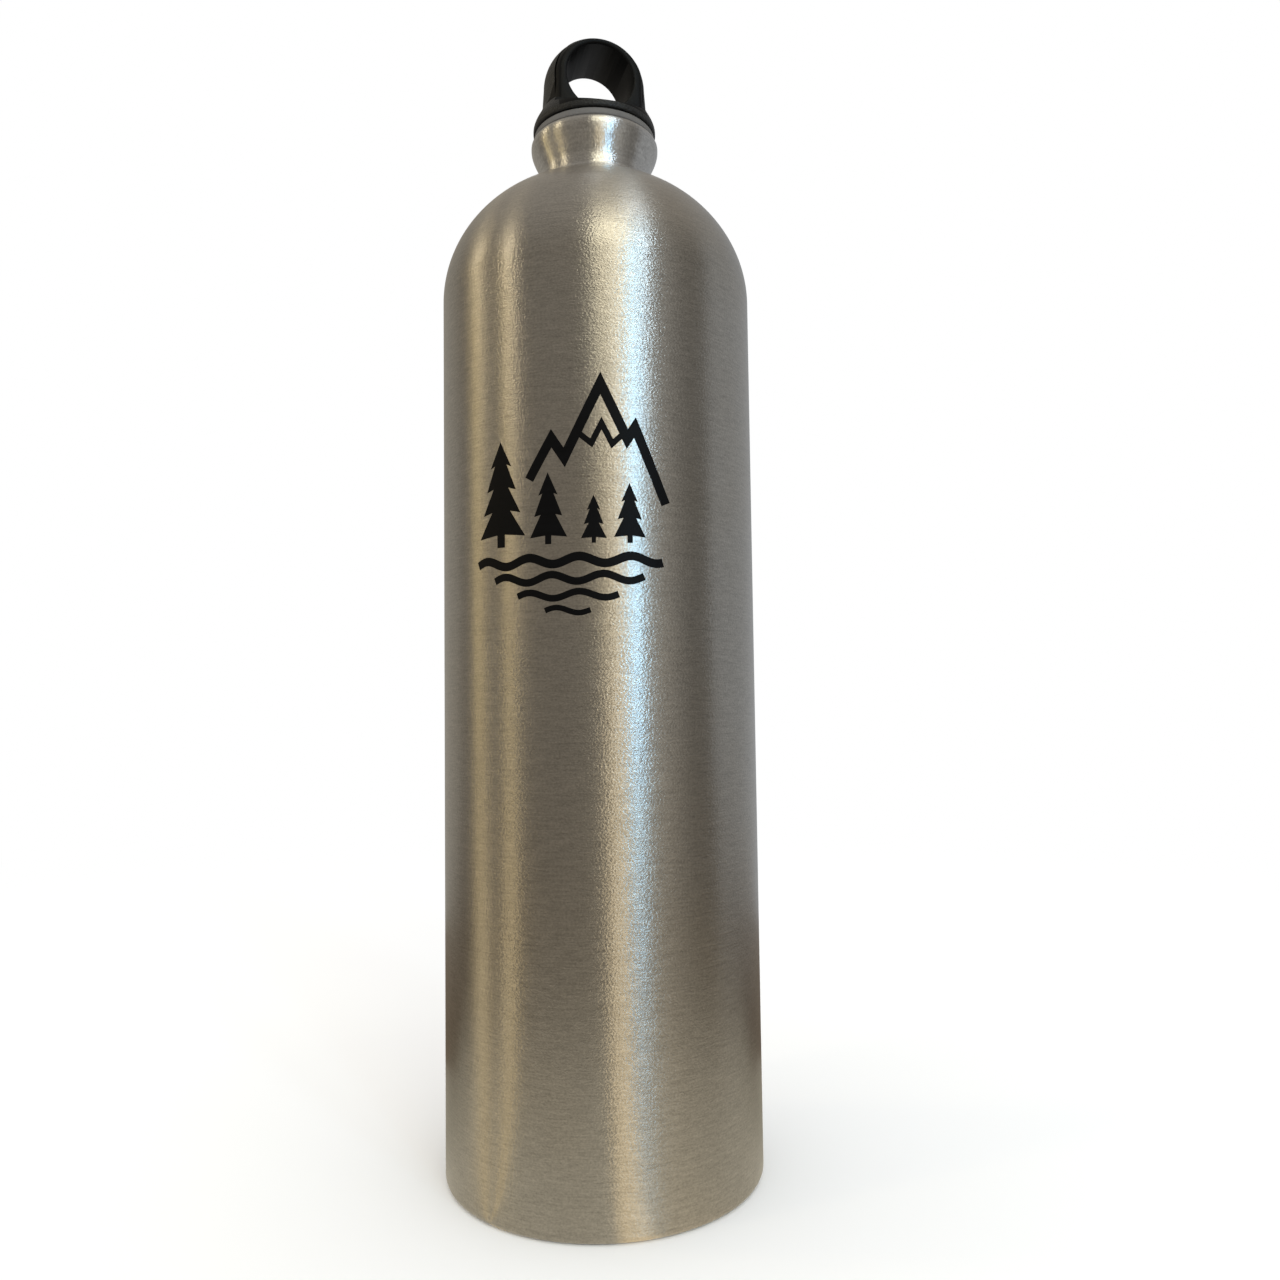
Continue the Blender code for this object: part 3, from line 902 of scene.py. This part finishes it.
@dataclass
class LoopCap:
    """The black moulding: a threaded hollow stem, a flange with a sloping deck, and the loop."""

    foot: float = 295.148 * MM
    stem: float = 11.9 * MM
    stem_length: float = 14.2 * MM
    stem_bore: float = 9.2 * MM
    stem_roof: float = -0.8 * MM
    stem_chamfer: float = 0.6 * MM
    bore_corner: float = 1.0 * MM
    flange: float = 17.95 * MM
    flange_height: float = 1.1 * MM
    flange_edge: float = 0.5 * MM
    flare: float = 7.1 * MM
    root: float = 15.35 * MM
    loop: float = 14.95 * MM
    centre: float = 14.0 * MM
    dome: float = 13.8 * MM
    half_thickness: float = 9.0 * MM
    shoulder: float = 1.8 * MM
    hole: float = 9.9 * MM
    hole_draft: float = 0.35 * MM
    hole_steps: int = 160
    lip: float = 0.8 * MM
    lip_rise: float = 0.3 * MM
    deck_rim: float = 1.7 * MM
    deck_foot: float = 4.8 * MM
    deck_fillet: float = 1.2 * MM
    collar: float = 12.75 * MM
    grain_drop: float = 0.12 * MM
    groove_width: float = 0.35 * MM
    groove_depth: float = 0.45 * MM
    proud: float = 0.06 * MM
    overrun: float = 2.0 * MM
    turn_steps: int = 144
    arch_steps: int = 60

    @property
    def reach(self) -> float:
        """How far from the axis the cutters run."""
        return self.flange + self.overrun

    @property
    def loop_foot(self) -> float:
        """The height where the loop's flats start, above the fillets at the deck."""
        return self.deck_foot + self.deck_fillet

    def helper(self, name: str, shape: Shape, slot: int = 0) -> Helper:
        """A helper with the cap's two material slots, the smooth one first and the grained one second."""
        return Helper(name, shape, slots=2, slot=slot)

    def body(self, drop: float) -> Shape:
        """Turn the whole cap before its loop is cut.

        Args:
            drop: how much smaller the loop is all round.

        Returns:
            The turned solid.
        """
        root, loop, dome = self.root - drop, self.loop - drop, self.dome - drop
        outline = Outline(5).corner(0, self.stem_roof)
        outline.corner(self.stem_bore, self.stem_roof, self.bore_corner)
        outline.corner(self.stem_bore, -self.stem_length)
        outline.corner(self.stem, -self.stem_length, self.stem_chamfer)
        outline.corner(self.stem, 0).corner(self.flange, 0, self.flange_edge)
        outline.run(eased((self.flange, self.flange_height), (root, self.flange_height + self.flare), 16))
        outline.run(elliptical(self.centre, (loop, dome), (0, QUARTER_TURN), 40))
        return turned(outline, self.turn_steps)

    def arch(self, section: Outline, foot: float, closed: bool = False) -> Shape:
        """A solid arch that runs through the loop along Y.

        Args:
            section: from back to front, how far the arch stands from its axis at each depth.
            foot: the height where its straight legs end.
            closed: whether the section closes on itself, which leaves the arch open inside.

        Returns:
            The arch, round above the hole's centre and straight below it.
        """
        shape = bmesh.new()
        line = chained(shape, ((point.x, point.y, 0) for point in section.points()), closed)
        bmesh.ops.spin(shape, geom=line, cent=(0, 0, 0), axis=(0, -1, 0), dvec=(0, 0, 0),
                       angle=HALF_TURN, steps=self.arch_steps)
        bmesh.ops.remove_doubles(shape, verts=shape.verts, dist=MERGE_DISTANCE)
        base = [edge for edge in shape.edges if edge.is_boundary]
        pushed(shape, bmesh.ops.extrude_edge_only(shape, edges=base), (0, 0, foot - self.centre))
        bmesh.ops.edgeloop_fill(shape, edges=[edge for edge in shape.edges if edge.is_boundary])
        return moved(tidied(shape), (0, 0, self.centre))

    def prism(self) -> Shape:
        """The arch that stands right through the cap and sets where its smooth collar ends."""
        section = Outline().corner(0, -self.reach).corner(self.collar, -self.reach)
        return self.arch(section.corner(self.collar, self.reach).corner(0, self.reach), self.deck_rim)

    def rounded_arch(self) -> Shape:
        """Make the arch whose rounded shoulders shape the edges of both flats, just proud of them.

        Returns:
            The arch.
        """
        face = self.half_thickness + self.proud
        middle = math.sqrt((self.loop - self.shoulder) ** 2 - (face - self.shoulder) ** 2)
        normal = Vector((middle, face - self.shoulder)).normalized()
        corner = (self.loop - face * normal.y) / normal.x
        beyond = corner + (face - self.shoulder) * normal.y / normal.x
        section = Outline(8).corner(0, -face).corner(corner, -face, self.shoulder)
        section.corner(beyond, -self.shoulder).corner(beyond, self.shoulder)
        return self.arch(section.corner(corner, face, self.shoulder).corner(0, face), self.loop_foot)

    def side_cutter(self, side: int) -> Shape:
        """Make the block that cuts one flat and its sloping deck, with a fillet at the flat's foot.

        Args:
            side: -1 for the front flat, and 1 for the back one.

        Returns:
            The block.
        """
        top = self.centre + self.dome + self.overrun
        face = self.half_thickness
        rim = self.deck_rim - (self.deck_foot - self.deck_rim) / (self.flange - face) * self.overrun
        outline = Outline(6).corner(face, self.deck_foot, self.deck_fillet).corner(self.reach, rim)
        points = outline.corner(self.reach, top).corner(face, top).points()
        shape = bmesh.new()
        start = shape.faces.new([shape.verts.new((-self.reach, side * point.x, point.y)) for point in points])
        pushed(shape, bmesh.ops.extrude_face_region(shape, geom=[start]), (2 * self.reach, 0, 0))
        return tidied(shape)

    def bored(self, outline: Outline, rise: float = 0.0) -> Shape:
        """Turn a cutter about the hole's axis.

        Args:
            outline: its section, as radius and depth.
            rise: how far its axis runs above the hole's centre.

        Returns:
            The cutter.
        """
        shape = turned(outline, self.hole_steps)
        turn = Matrix.Rotation(QUARTER_TURN, 3, "X")
        bmesh.ops.rotate(shape, verts=shape.verts, cent=(0, 0, 0), matrix=turn)
        return moved(shape, (0, 0, self.centre + rise))

    def hole_radius(self, depth: float) -> float:
        """The hole's radius at a depth, from the front flat's negative depth to the back flat's."""
        return self.hole - self.hole_draft * (depth + self.half_thickness) / (2 * self.half_thickness)

    def hole_cutter(self) -> Shape:
        """The hole's shape, which narrows a little from the front flat to the back one."""
        outline = Outline(1).corner(0, -self.reach).corner(self.hole_radius(self.reach), -self.reach)
        return self.bored(outline.corner(self.hole_radius(-self.reach), self.reach).corner(0, self.reach))

    def lip_cutter(self, side: int) -> Shape:
        """Make the dish that rounds the hole's lip at one flat, fading out towards the deck.

        Args:
            side: -1 for the front flat, and 1 for the back one.

        Returns:
            The dish.
        """
        depth = self.half_thickness
        outside = -side * (depth + self.proud)
        radius = self.hole_radius(side * depth) + self.lip - self.lip_rise
        outline = Outline(1).corner(0, -side * (depth - 2 * self.lip))
        outline.run((radius - self.lip * math.sin(angle), -side * (depth - self.lip * (1 - math.cos(angle))))
                    for angle in (QUARTER_TURN * step / 8 for step in range(8, -1, -1)))
        return self.bored(outline.corner(radius, outside).corner(0, outside), self.lip_rise)

    def groove(self) -> Helper:
        """Make the cutter of the fine groove where the smooth collar meets the grained sides.

        Returns:
            The cutter.
        """
        inner, outer = self.collar - self.proud, self.collar + self.groove_width
        reach = self.reach + self.overrun
        section = Outline().corner(inner, -reach).corner(outer, -reach)
        section.corner(outer, reach).corner(inner, reach)
        ring = self.helper("groove", self.arch(section, self.loop_foot, closed=True))
        return ring.joined(self.helper("groove_floor", self.body(self.groove_depth)), Join.CUT)

    def slab(self) -> Shape:
        """Turn a solid round everything below the loop's shoulders.

        Returns:
            The solid.
        """
        foot, top = -self.stem_length - self.overrun, self.loop_foot + self.proud
        outline = Outline().corner(0, foot).corner(self.reach, foot).corner(self.reach, top).corner(0, top)
        return turned(outline, self.turn_steps)

    def build(self, thread_start: float, turns: float = 2.0) -> None:
        """Make the cap's piece.

        Args:
            thread_start: the height above the floor where the stem's thread starts.
            turns: how many turns the thread has.
        """
        grained = 1
        cap = self.helper("cap_grained", self.body(self.grain_drop), grained)
        collar = self.helper("cap_collar", self.body(0))
        collar.joined(self.helper("cap_arch", self.prism()), Join.KEEP)
        cap.joined(collar, Join.ADD).joined(self.groove(), Join.CUT)
        for side, name in ((-1, "front"), (1, "back")):
            cap.joined(self.helper(f"{name}_cutter", self.side_cutter(side)), Join.CUT)
        around = self.helper("loop_keeper", self.rounded_arch())
        cap.joined(around.joined(self.helper("below_loop", self.slab()), Join.ADD), Join.KEEP)
        cap.joined(self.helper("hole_cutter", self.hole_cutter()), Join.CUT)
        for side, name in ((-1, "front"), (1, "back")):
            cap.joined(self.helper(f"{name}_lip", self.lip_cutter(side)), Join.CUT)
        ridge = Ridge(steps=self.turn_steps).shape(self.stem, -1, thread_start - self.foot, HALF_TURN, turns)
        cap.joined(self.helper("stem_ridge", ridge), Join.ADD)
        shape = moved(tidied(cap.shape()), (0, 0, self.foot))
        piece = Piece("loop_cap", Body.CAP, "cap_plastic", "cap_body", smooth_angle=math.radians(28))
        piece.made(shape, SMOOTH_PLASTIC.material(), GRAINED_PLASTIC.material())


@dataclass
class StemDisc:
    """The disc that closes the hollow stem, with a finger recess and a raised rim."""

    cap: LoopCap
    gap: float = 0.3 * MM
    recess: float = 0.8 * MM
    thickness: float = 1.6 * MM
    dish: float = 0.5 * MM
    rim: float = 1.6 * MM
    edge: float = 0.3 * MM

    def build(self) -> None:
        """Make the disc's piece."""
        radius = self.cap.stem_bore - self.gap
        foot = self.cap.foot - self.cap.stem_length + self.recess
        inner, top = radius - self.rim, foot + self.thickness
        outline = Outline(4).corner(0, foot + self.dish).corner(inner, foot + self.dish, self.edge)
        outline.corner(inner, foot, self.edge / 2).corner(radius, foot, self.edge)
        outline.corner(radius, top, self.edge).corner(0, top)
        piece = Piece("stem_disc", Body.CAP, "closure_plastic", "stem_closure")
        piece.made(turned(outline, 128), DISC_PLASTIC.material())


@dataclass
class LakePrint:
    """A generic black print of hills, pines and water, wrapped round the front of the bottle."""

    shell: BottleShell
    middle_angle: float = math.radians(-114.6)
    middle_height: float = 181.0 * MM
    film: float = 0.02 * MM
    sunk: float = 0.03 * MM
    column: float = 1.2 * MM
    shore: float = -12.5
    pine_trunk: float = 0.045
    pine_crown: float = 0.12
    pine_width: float = 0.27
    pine_taper: float = 0.72
    pine_droop: float = 0.025
    pine_notch: float = 0.40
    wave_step: float = 0.6

    def stroke(self, points: Sequence[Point], width: float) -> Shape:
        """Draw a flat line with mitred corners, in millimetres.

        Args:
            points: where the line runs.
            width: how wide it is.

        Returns:
            The flat shape.
        """
        shape = bmesh.new()
        path = [Vector(point) for point in points]
        sides = []
        for index, point in enumerate(path):
            before = (point - path[max(index - 1, 0)]).normalized()
            after = (path[min(index + 1, len(path) - 1)] - point).normalized()
            along = (before + after).normalized()
            reach = width / 2 / max(along.dot(after if after.length else before), 0.4)
            sides.append(Vector((-along.y, along.x)) * reach)
        left = [shape.verts.new((*(point + side), 0)) for point, side in zip(path, sides)]
        right = [shape.verts.new((*(point - side), 0)) for point, side in zip(path, sides)]
        rails = [shape.edges.new(pair) for rail in (left, right) for pair in zip(rail, rail[1:])]
        bmesh.ops.bridge_loops(shape, edges=rails)
        return shape

    def filled(self, points: Sequence[Point]) -> Shape:
        """Fill the inside of some points, in millimetres.

        Args:
            points: the shape's corners in order.

        Returns:
            The flat shape.
        """
        shape = bmesh.new()
        shape.faces.new([shape.verts.new((x, y, 0)) for x, y in points])
        shape.normal_update()
        bmesh.ops.triangulate(shape, faces=shape.faces, ngon_method="EAR_CLIP")
        return shape

    def pine(self, x: float, height: float, tiers: int) -> Shape:
        """Draw a pine of notched tiers on a short trunk, in millimetres.

        Args:
            x: where it stands.
            height: how tall it is.
            tiers: how many tiers it has.

        Returns:
            The flat shape.
        """
        trunk, crown = height * self.pine_trunk, height * self.pine_crown
        side = [(trunk, 0.0), (trunk, crown)]
        for tier in range(tiers):
            share = tier / tiers
            width = height * self.pine_width * (1 - share * self.pine_taper)
            rise = crown + (height - crown) * share
            notch = (width * self.pine_notch, rise + (height - crown) / tiers)
            side += [(width, rise - height * self.pine_droop), notch]
        side[-1] = (0.0, height)
        points = [(x + reach, self.shore + rise) for reach, rise in side]
        points += [(x - reach, self.shore + rise) for reach, rise in reversed(side[:-1])]
        return self.filled(points)

    def wave(self, start: float, end: float, height: float, swell: float, length: float) -> list[Point]:
        """Lay points along a wavy line, in millimetres.

        Args:
            start: where its left end is.
            end: where its right end is.
            height: the height that it swings about.
            swell: how far it swings up and down.
            length: how long one wave is.

        Returns:
            The points.
        """
        steps = round((end - start) / self.wave_step)
        return [(start + (end - start) * step / steps,
                 height + swell * math.sin(FULL_TURN * (end - start) * step / steps / length))
                for step in range(steps + 1)]

    def motifs(self) -> list[Shape]:
        """Draw every shape of the print.

        Returns:
            The shapes, laid flat.
        """
        hills = [(-8.5, 4.0), (-2.5, 14.0), (0.8, 9.0), (10.0, 27.5), (16.6, 13.5), (18.6, 16.5),
                 (26.5, -2.5)]
        snow = [(4.4, 15.0), (7.6, 12.4), (10.2, 17.4), (12.8, 12.2), (15.6, 14.8)]
        pines = ((-17.0, 27.0, 4), (-3.5, 18.0, 3), (8.0, 12.0, 3), (17.0, 15.0, 3))
        waves = ((-25.0, 25.5, -16.6, 0.9, 13.0, 2.2), (-19.0, 20.5, -21.0, 0.9, 13.0, 1.9),
                 (-12.0, 14.0, -25.2, 0.8, 13.0, 1.7), (-4.5, 7.0, -29.0, 0.7, 11.5, 1.4))
        shapes = [self.stroke(hills, 2.5), self.stroke(snow, 1.5)]
        shapes += [self.pine(*pine) for pine in pines]
        return shapes + [self.stroke(self.wave(*line), width) for *line, width in waves]

    def wrapped(self, shape: Shape) -> Shape:
        """Cut a flat shape into columns, thicken it and bend it round the bottle.

        Args:
            shape: the flat shape, in millimetres.

        Returns:
            The same bmesh as a closed film, in metres.
        """
        radius = self.shell.radius - self.shell.skin
        bmesh.ops.scale(shape, verts=shape.verts, vec=(MM, MM, MM))
        low = min(vertex.co.x for vertex in shape.verts)
        high = max(vertex.co.x for vertex in shape.verts)
        for index in range(1, math.ceil((high - low) / self.column)):
            geometry = [*shape.verts, *shape.edges, *shape.faces]
            bmesh.ops.bisect_plane(shape, geom=geometry, dist=MERGE_DISTANCE / 10,
                                   plane_co=(low + index * self.column, 0, 0), plane_no=(1, 0, 0))
        thickness = (0, 0, self.film + self.sunk)
        pushed(shape, bmesh.ops.extrude_face_region(shape, geom=shape.faces[:]), thickness)
        for vertex in shape.verts:
            across, up, out = vertex.co
            angle = self.middle_angle + across / radius
            reach = radius - self.sunk + out
            vertex.co = (reach * math.cos(angle), reach * math.sin(angle), self.middle_height + up)
        return tidied(shape)

    def build(self) -> None:
        """Make the print's piece."""
        whole = bmesh.new()
        for shape in self.motifs():
            part = bpy.data.meshes.new("motif")
            self.wrapped(shape).to_mesh(part)
            shape.free()
            whole.from_mesh(part)
            bpy.data.meshes.remove(part)
        Piece("lake_print", Body.BOTTLE, "print_ink").made(whole, PrintInk().material())


# The studio


@dataclass(frozen=True)
class Softbox:
    """A soft lamp, placed round the bottle from the camera's side."""

    name: str
    bearing: float
    height: float
    distance: float
    width: float
    tall: float
    power: float
    colour: Colour


@dataclass
class Studio:
    """A plain pale floor under a pale sky, a dim tent of painted light round the camera, and soft lamps in
    it.
    """

    camera_bearing: float = math.radians(-102.6)
    camera_distance: float = 295.9 * MM
    camera_height: float = 130.7 * MM
    pitch: float = math.radians(3.109)
    yaw: float = math.radians(2.237)
    roll: float = math.radians(-0.741)
    lens: float = 28.929
    sensor: float = 36.0
    floor_reach: float = 30.0
    floor_colour: Colour = (0.90, 0.90, 0.90)
    floor_fade: Point = (0.10, 0.75)
    tent_mouth: float = 0.0425
    tent_foot: float = 0.15 * MM
    tent_floor: float = 1.71
    tent_sill: float = 0.1
    tent_radius: float = 1.9
    tent_height: float = 2.2
    tent_half_arc: float = math.radians(171)
    round_steps: int = 96
    # The tent's shades are painted light: the glow that the metal reflects from before, beside and above the
    # bottle.
    front_shade: Colour = (0.27, 0.245, 0.21)
    glow_shade: Colour = (0.43, 0.42, 0.40)
    flag_shade: Colour = (0.21, 0.20, 0.185)
    left_shade: Colour = (0.37, 0.345, 0.30)
    right_shade: Colour = (0.40, 0.41, 0.42)
    roof_shade: Colour = (0.47, 0.44, 0.40)
    # Painted shade and light on the tent's ground: a dark patch that stands for a table, and the lit ground
    # near the bottle and behind it.
    table_shade: Colour = (0.16, 0.12, 0.08)
    ground_shade: Colour = (0.62, 0.57, 0.46)
    back_ground_shade: Colour = (0.42, 0.385, 0.30)
    # Painted pools of light on the tent's ground, which the metal shows as streaks near its foot.
    gold_pool_shade: Colour = (1.05, 0.85, 0.52)
    pool_shade: Colour = (1.22, 1.00, 0.66)
    cool_pool_shade: Colour = (2.4, 4.6, 7.2)
    flank_radius: float = 44.0 * MM
    flank_bearing: float = -42.0
    lamps: tuple[Softbox, ...] = (
        Softbox("cool_strip", 25.0, 0.44, 1.25, 0.085, 0.80, 1.9, (0.40, 0.72, 1.0)),
        Softbox("cool_gleam", 35.0, 0.96, 1.20, 0.12, 0.36, 1.9, (0.62, 0.82, 1.0)),
        Softbox("warm_window", 15.0, 0.45, 1.30, 0.18, 0.9, 0.68, (1.0, 0.98, 0.86)),
        Softbox("high_window", 12.0, 1.09, 1.00, 0.55, 0.55, 4.3, (1.0, 0.94, 0.72)),
        Softbox("top_gleam", 46.0, 1.70, 0.70, 0.34, 0.80, 2.2, (0.95, 0.98, 1.0)),
        Softbox("gold_strip", -67.0, 0.66, 1.30, 0.10, 1.3, 0.58, (1.0, 0.77, 0.33)),
        Softbox("gold_gleam", -67.0, 0.94, 1.20, 0.10, 0.4, 0.8, (1.0, 0.88, 0.66)),
        Softbox("far_gold_strip", -96.0, 0.66, 1.30, 0.18, 1.3, 0.76, (1.0, 0.77, 0.33)),
        Softbox("far_gold_gleam", -98.0, 0.94, 1.20, 0.12, 0.4, 0.55, (1.0, 0.88, 0.66)),
    )

    def direction(self, bearing: float) -> Vector:
        """The level direction at a bearing in degrees, to the right of the camera as it faces the bottle."""
        angle = self.camera_bearing + math.radians(bearing)
        return Vector((math.cos(angle), math.sin(angle), 0))

    def build_camera(self) -> None:
        """Make the camera that took the picture."""
        camera = bpy.data.objects.new("camera", bpy.data.cameras.new("camera"))
        camera.data.sensor_width = self.sensor
        camera.data.lens = self.lens
        camera.data.clip_start = 10 * MM
        turn = Matrix.Rotation(self.camera_bearing + QUARTER_TURN - self.yaw, 4, "Z")
        tilt = Matrix.Rotation(QUARTER_TURN + self.pitch, 4, "X")
        place = self.direction(0) * self.camera_distance + Vector((0, 0, self.camera_height))
        camera.matrix_world = Matrix.Translation(place) @ turn @ tilt @ Matrix.Rotation(self.roll, 4, "Z")
        bpy.context.scene.collection.objects.link(camera)
        bpy.context.scene.camera = camera

    def build_lamps(self) -> None:
        """Make the soft lamps, each facing the bottle."""
        for box in self.lamps:
            lamp = bpy.data.lights.new(box.name, "AREA")
            lamp.shape = "RECTANGLE"
            lamp.size, lamp.size_y = box.width, box.tall
            lamp.energy, lamp.color = box.power, box.colour
            thing = bpy.data.objects.new(box.name, lamp)
            thing.location = self.direction(box.bearing) * box.distance + Vector((0, 0, box.height))
            aim = Vector((0, 0, box.height)) - thing.location
            thing.rotation_euler = aim.to_track_quat("-Z", "Y").to_euler()
            bpy.context.scene.collection.objects.link(thing)

    def build_floor(self) -> None:
        """Make the floor, which grows as pale as the sky far from the bottle."""
        shape = bmesh.new()
        bmesh.ops.create_circle(shape, cap_ends=True, segments=self.round_steps, radius=self.floor_reach)
        bench = Bench("pale_floor")
        near = bench.wire("ShaderNodeBsdfDiffuse", 0, inputs={"Color": (*self.floor_colour, 1.0)})
        far = bench.wire("ShaderNodeEmission", 0, inputs={"Color": WHITE, "Strength": 1.0})
        share = bench.length(bench.place()).ramp(*self.floor_fade)
        mix = bench.node("ShaderNodeMixShader", inputs={0: share, 1: near, 2: far})
        floor = placed("pale_floor", shape, bench.surfaced(mix))

    def build_tent(self) -> None:
        """Make the dim tent, open behind the bottle, which glows with painted light and shows only in
        reflections.
        """
        section = [(self.tent_mouth, self.tent_foot), (self.tent_floor, self.tent_foot)]
        size = (self.tent_radius, self.tent_height)
        section += elliptical(self.tent_sill, size, (0, QUARTER_TURN), 24)
        shape = bmesh.new()
        start = self.direction(-math.degrees(self.tent_half_arc))
        line = chained(shape, (start * radius + Vector((0, 0, height)) for radius, height in section))
        bmesh.ops.spin(shape, geom=line, cent=(0, 0, 0), axis=(0, 0, 1), dvec=(0, 0, 0),
                       angle=2 * self.tent_half_arc, steps=self.round_steps)
        tent = placed("dim_tent", tidied(shape), self.tent_material())
        # The tent glows with painted light and shows only in reflections.
        tent.visible_camera = tent.visible_diffuse = tent.visible_shadow = False

    def tent_material(self) -> bpy.types.Material:
        """Build the tent's cloth, which glows with painted light: dim before the bottle, and paler behind it,
        overhead and at its foot.

        Returns:
            The material.
        """
        bench = Bench("dim_tent")
        x, y, z = bench.parts(bench.place())
        flat = bench.vector(x, y, 0.0)
        spread = bench.length(flat)
        ahead = bench.facing(flat, self.direction(0))
        across = bench.facing(flat, self.direction(90))
        left = bench.blended(ahead.ramp(-0.46, -0.54), self.front_shade, self.left_shade)
        glow = bench.blended(ahead.ramp(0.34, 0.76), self.flag_shade, self.glow_shade)
        beside = bench.blended(ahead.ramp(0.92, 0.80), self.front_shade, glow)
        right = bench.blended(ahead.ramp(0.10, 0.04), beside, self.right_shade)
        walls = bench.blended(across.ramp(-0.05, 0.05), left, right)
        above = bench.blended(z.ramp(1.1, 2.0), walls, self.roof_shade)
        low = z.ramp(0.5, 0.1)
        # Painted shade on the tent's ground: a dark patch that stands for a table, and within it paler
        # painted light on the ground near the bottle, darker behind it.
        table = bench.blended(spread.ramp(0.36, 0.28) * low, above, self.table_shade)
        near = bench.blended(ahead.ramp(0.30, -0.45), self.ground_shade, self.back_ground_shade)
        before, behind = spread.ramp(0.18, 0.11), spread.ramp(0.112, 0.098)
        inner = before + ahead.ramp(-0.20, -0.40) * (behind - before)
        ground = bench.blended(inner * low, table, near)
        # Painted pools of light on the tent's ground: two gold bands to the left, and a cool streak and a
        # warm wedge to the front right.
        flank = self.direction(self.flank_bearing) * self.flank_radius
        past = bench.facing(bench.vectors("SUBTRACT", "Vector", flat, flank), self.direction(0))
        first_gold = past.ramp(0.52, 0.42) * past.ramp(0.24, 0.34)
        second_gold = past.ramp(0.06, -0.04) * past.ramp(-0.26, -0.16)
        bands = (first_gold + second_gold) * across.ramp(-0.3, -0.6) * spread.ramp(1.2, 0.5)
        gold = bench.blended(bands * low, ground, self.gold_pool_shade)
        front = ahead.ramp(0.0, 0.3)
        streak = across.ramp(0.33, 0.41) * across.ramp(0.51, 0.43) * front * spread.ramp(0.65, 1.5)
        golden = bench.blended(streak * low, gold, self.cool_pool_shade)
        fan = across.ramp(0.34, 0.22) * 0.78 + across.ramp(0.95, 0.35) * 0.22
        wedge = across.ramp(0.02, 0.14) * front * fan
        shade = bench.blended(wedge * low, golden, self.pool_shade)
        return bench.surfaced(bench.node("ShaderNodeEmission", inputs={"Color": shade, "Strength": 1.0}))

    def build_sky(self) -> None:
        """Make the pale sky behind everything."""
        world = bpy.data.worlds.new("pale_sky")
        world.use_nodes = True
        background = world.node_tree.nodes["Background"]
        background.inputs["Color"].default_value = WHITE
        background.inputs["Strength"].default_value = 1.0
        bpy.context.scene.world = world

    def build(self) -> None:
        """Make the whole studio."""
        bpy.context.scene.view_settings.view_transform = "Standard"
        self.build_camera()
        self.build_lamps()
        self.build_floor()
        self.build_tent()
        self.build_sky()
        log.info("studio: %d lamps", len(self.lamps))


def main() -> None:
    """Build every piece of the bottle and the studio."""
    logging.basicConfig(level=logging.INFO, format="%(name)s: %(message)s")
    Studio().build()
    shell = BottleShell()
    insert = NeckInsert(shell)
    cap = LoopCap()
    shell.build()
    insert.build()
    LipGasket(shell).build()
    cap.build(insert.thread_start)
    StemDisc(cap).build()
    LakePrint(shell).build()


if __name__ == "__main__":
    main()
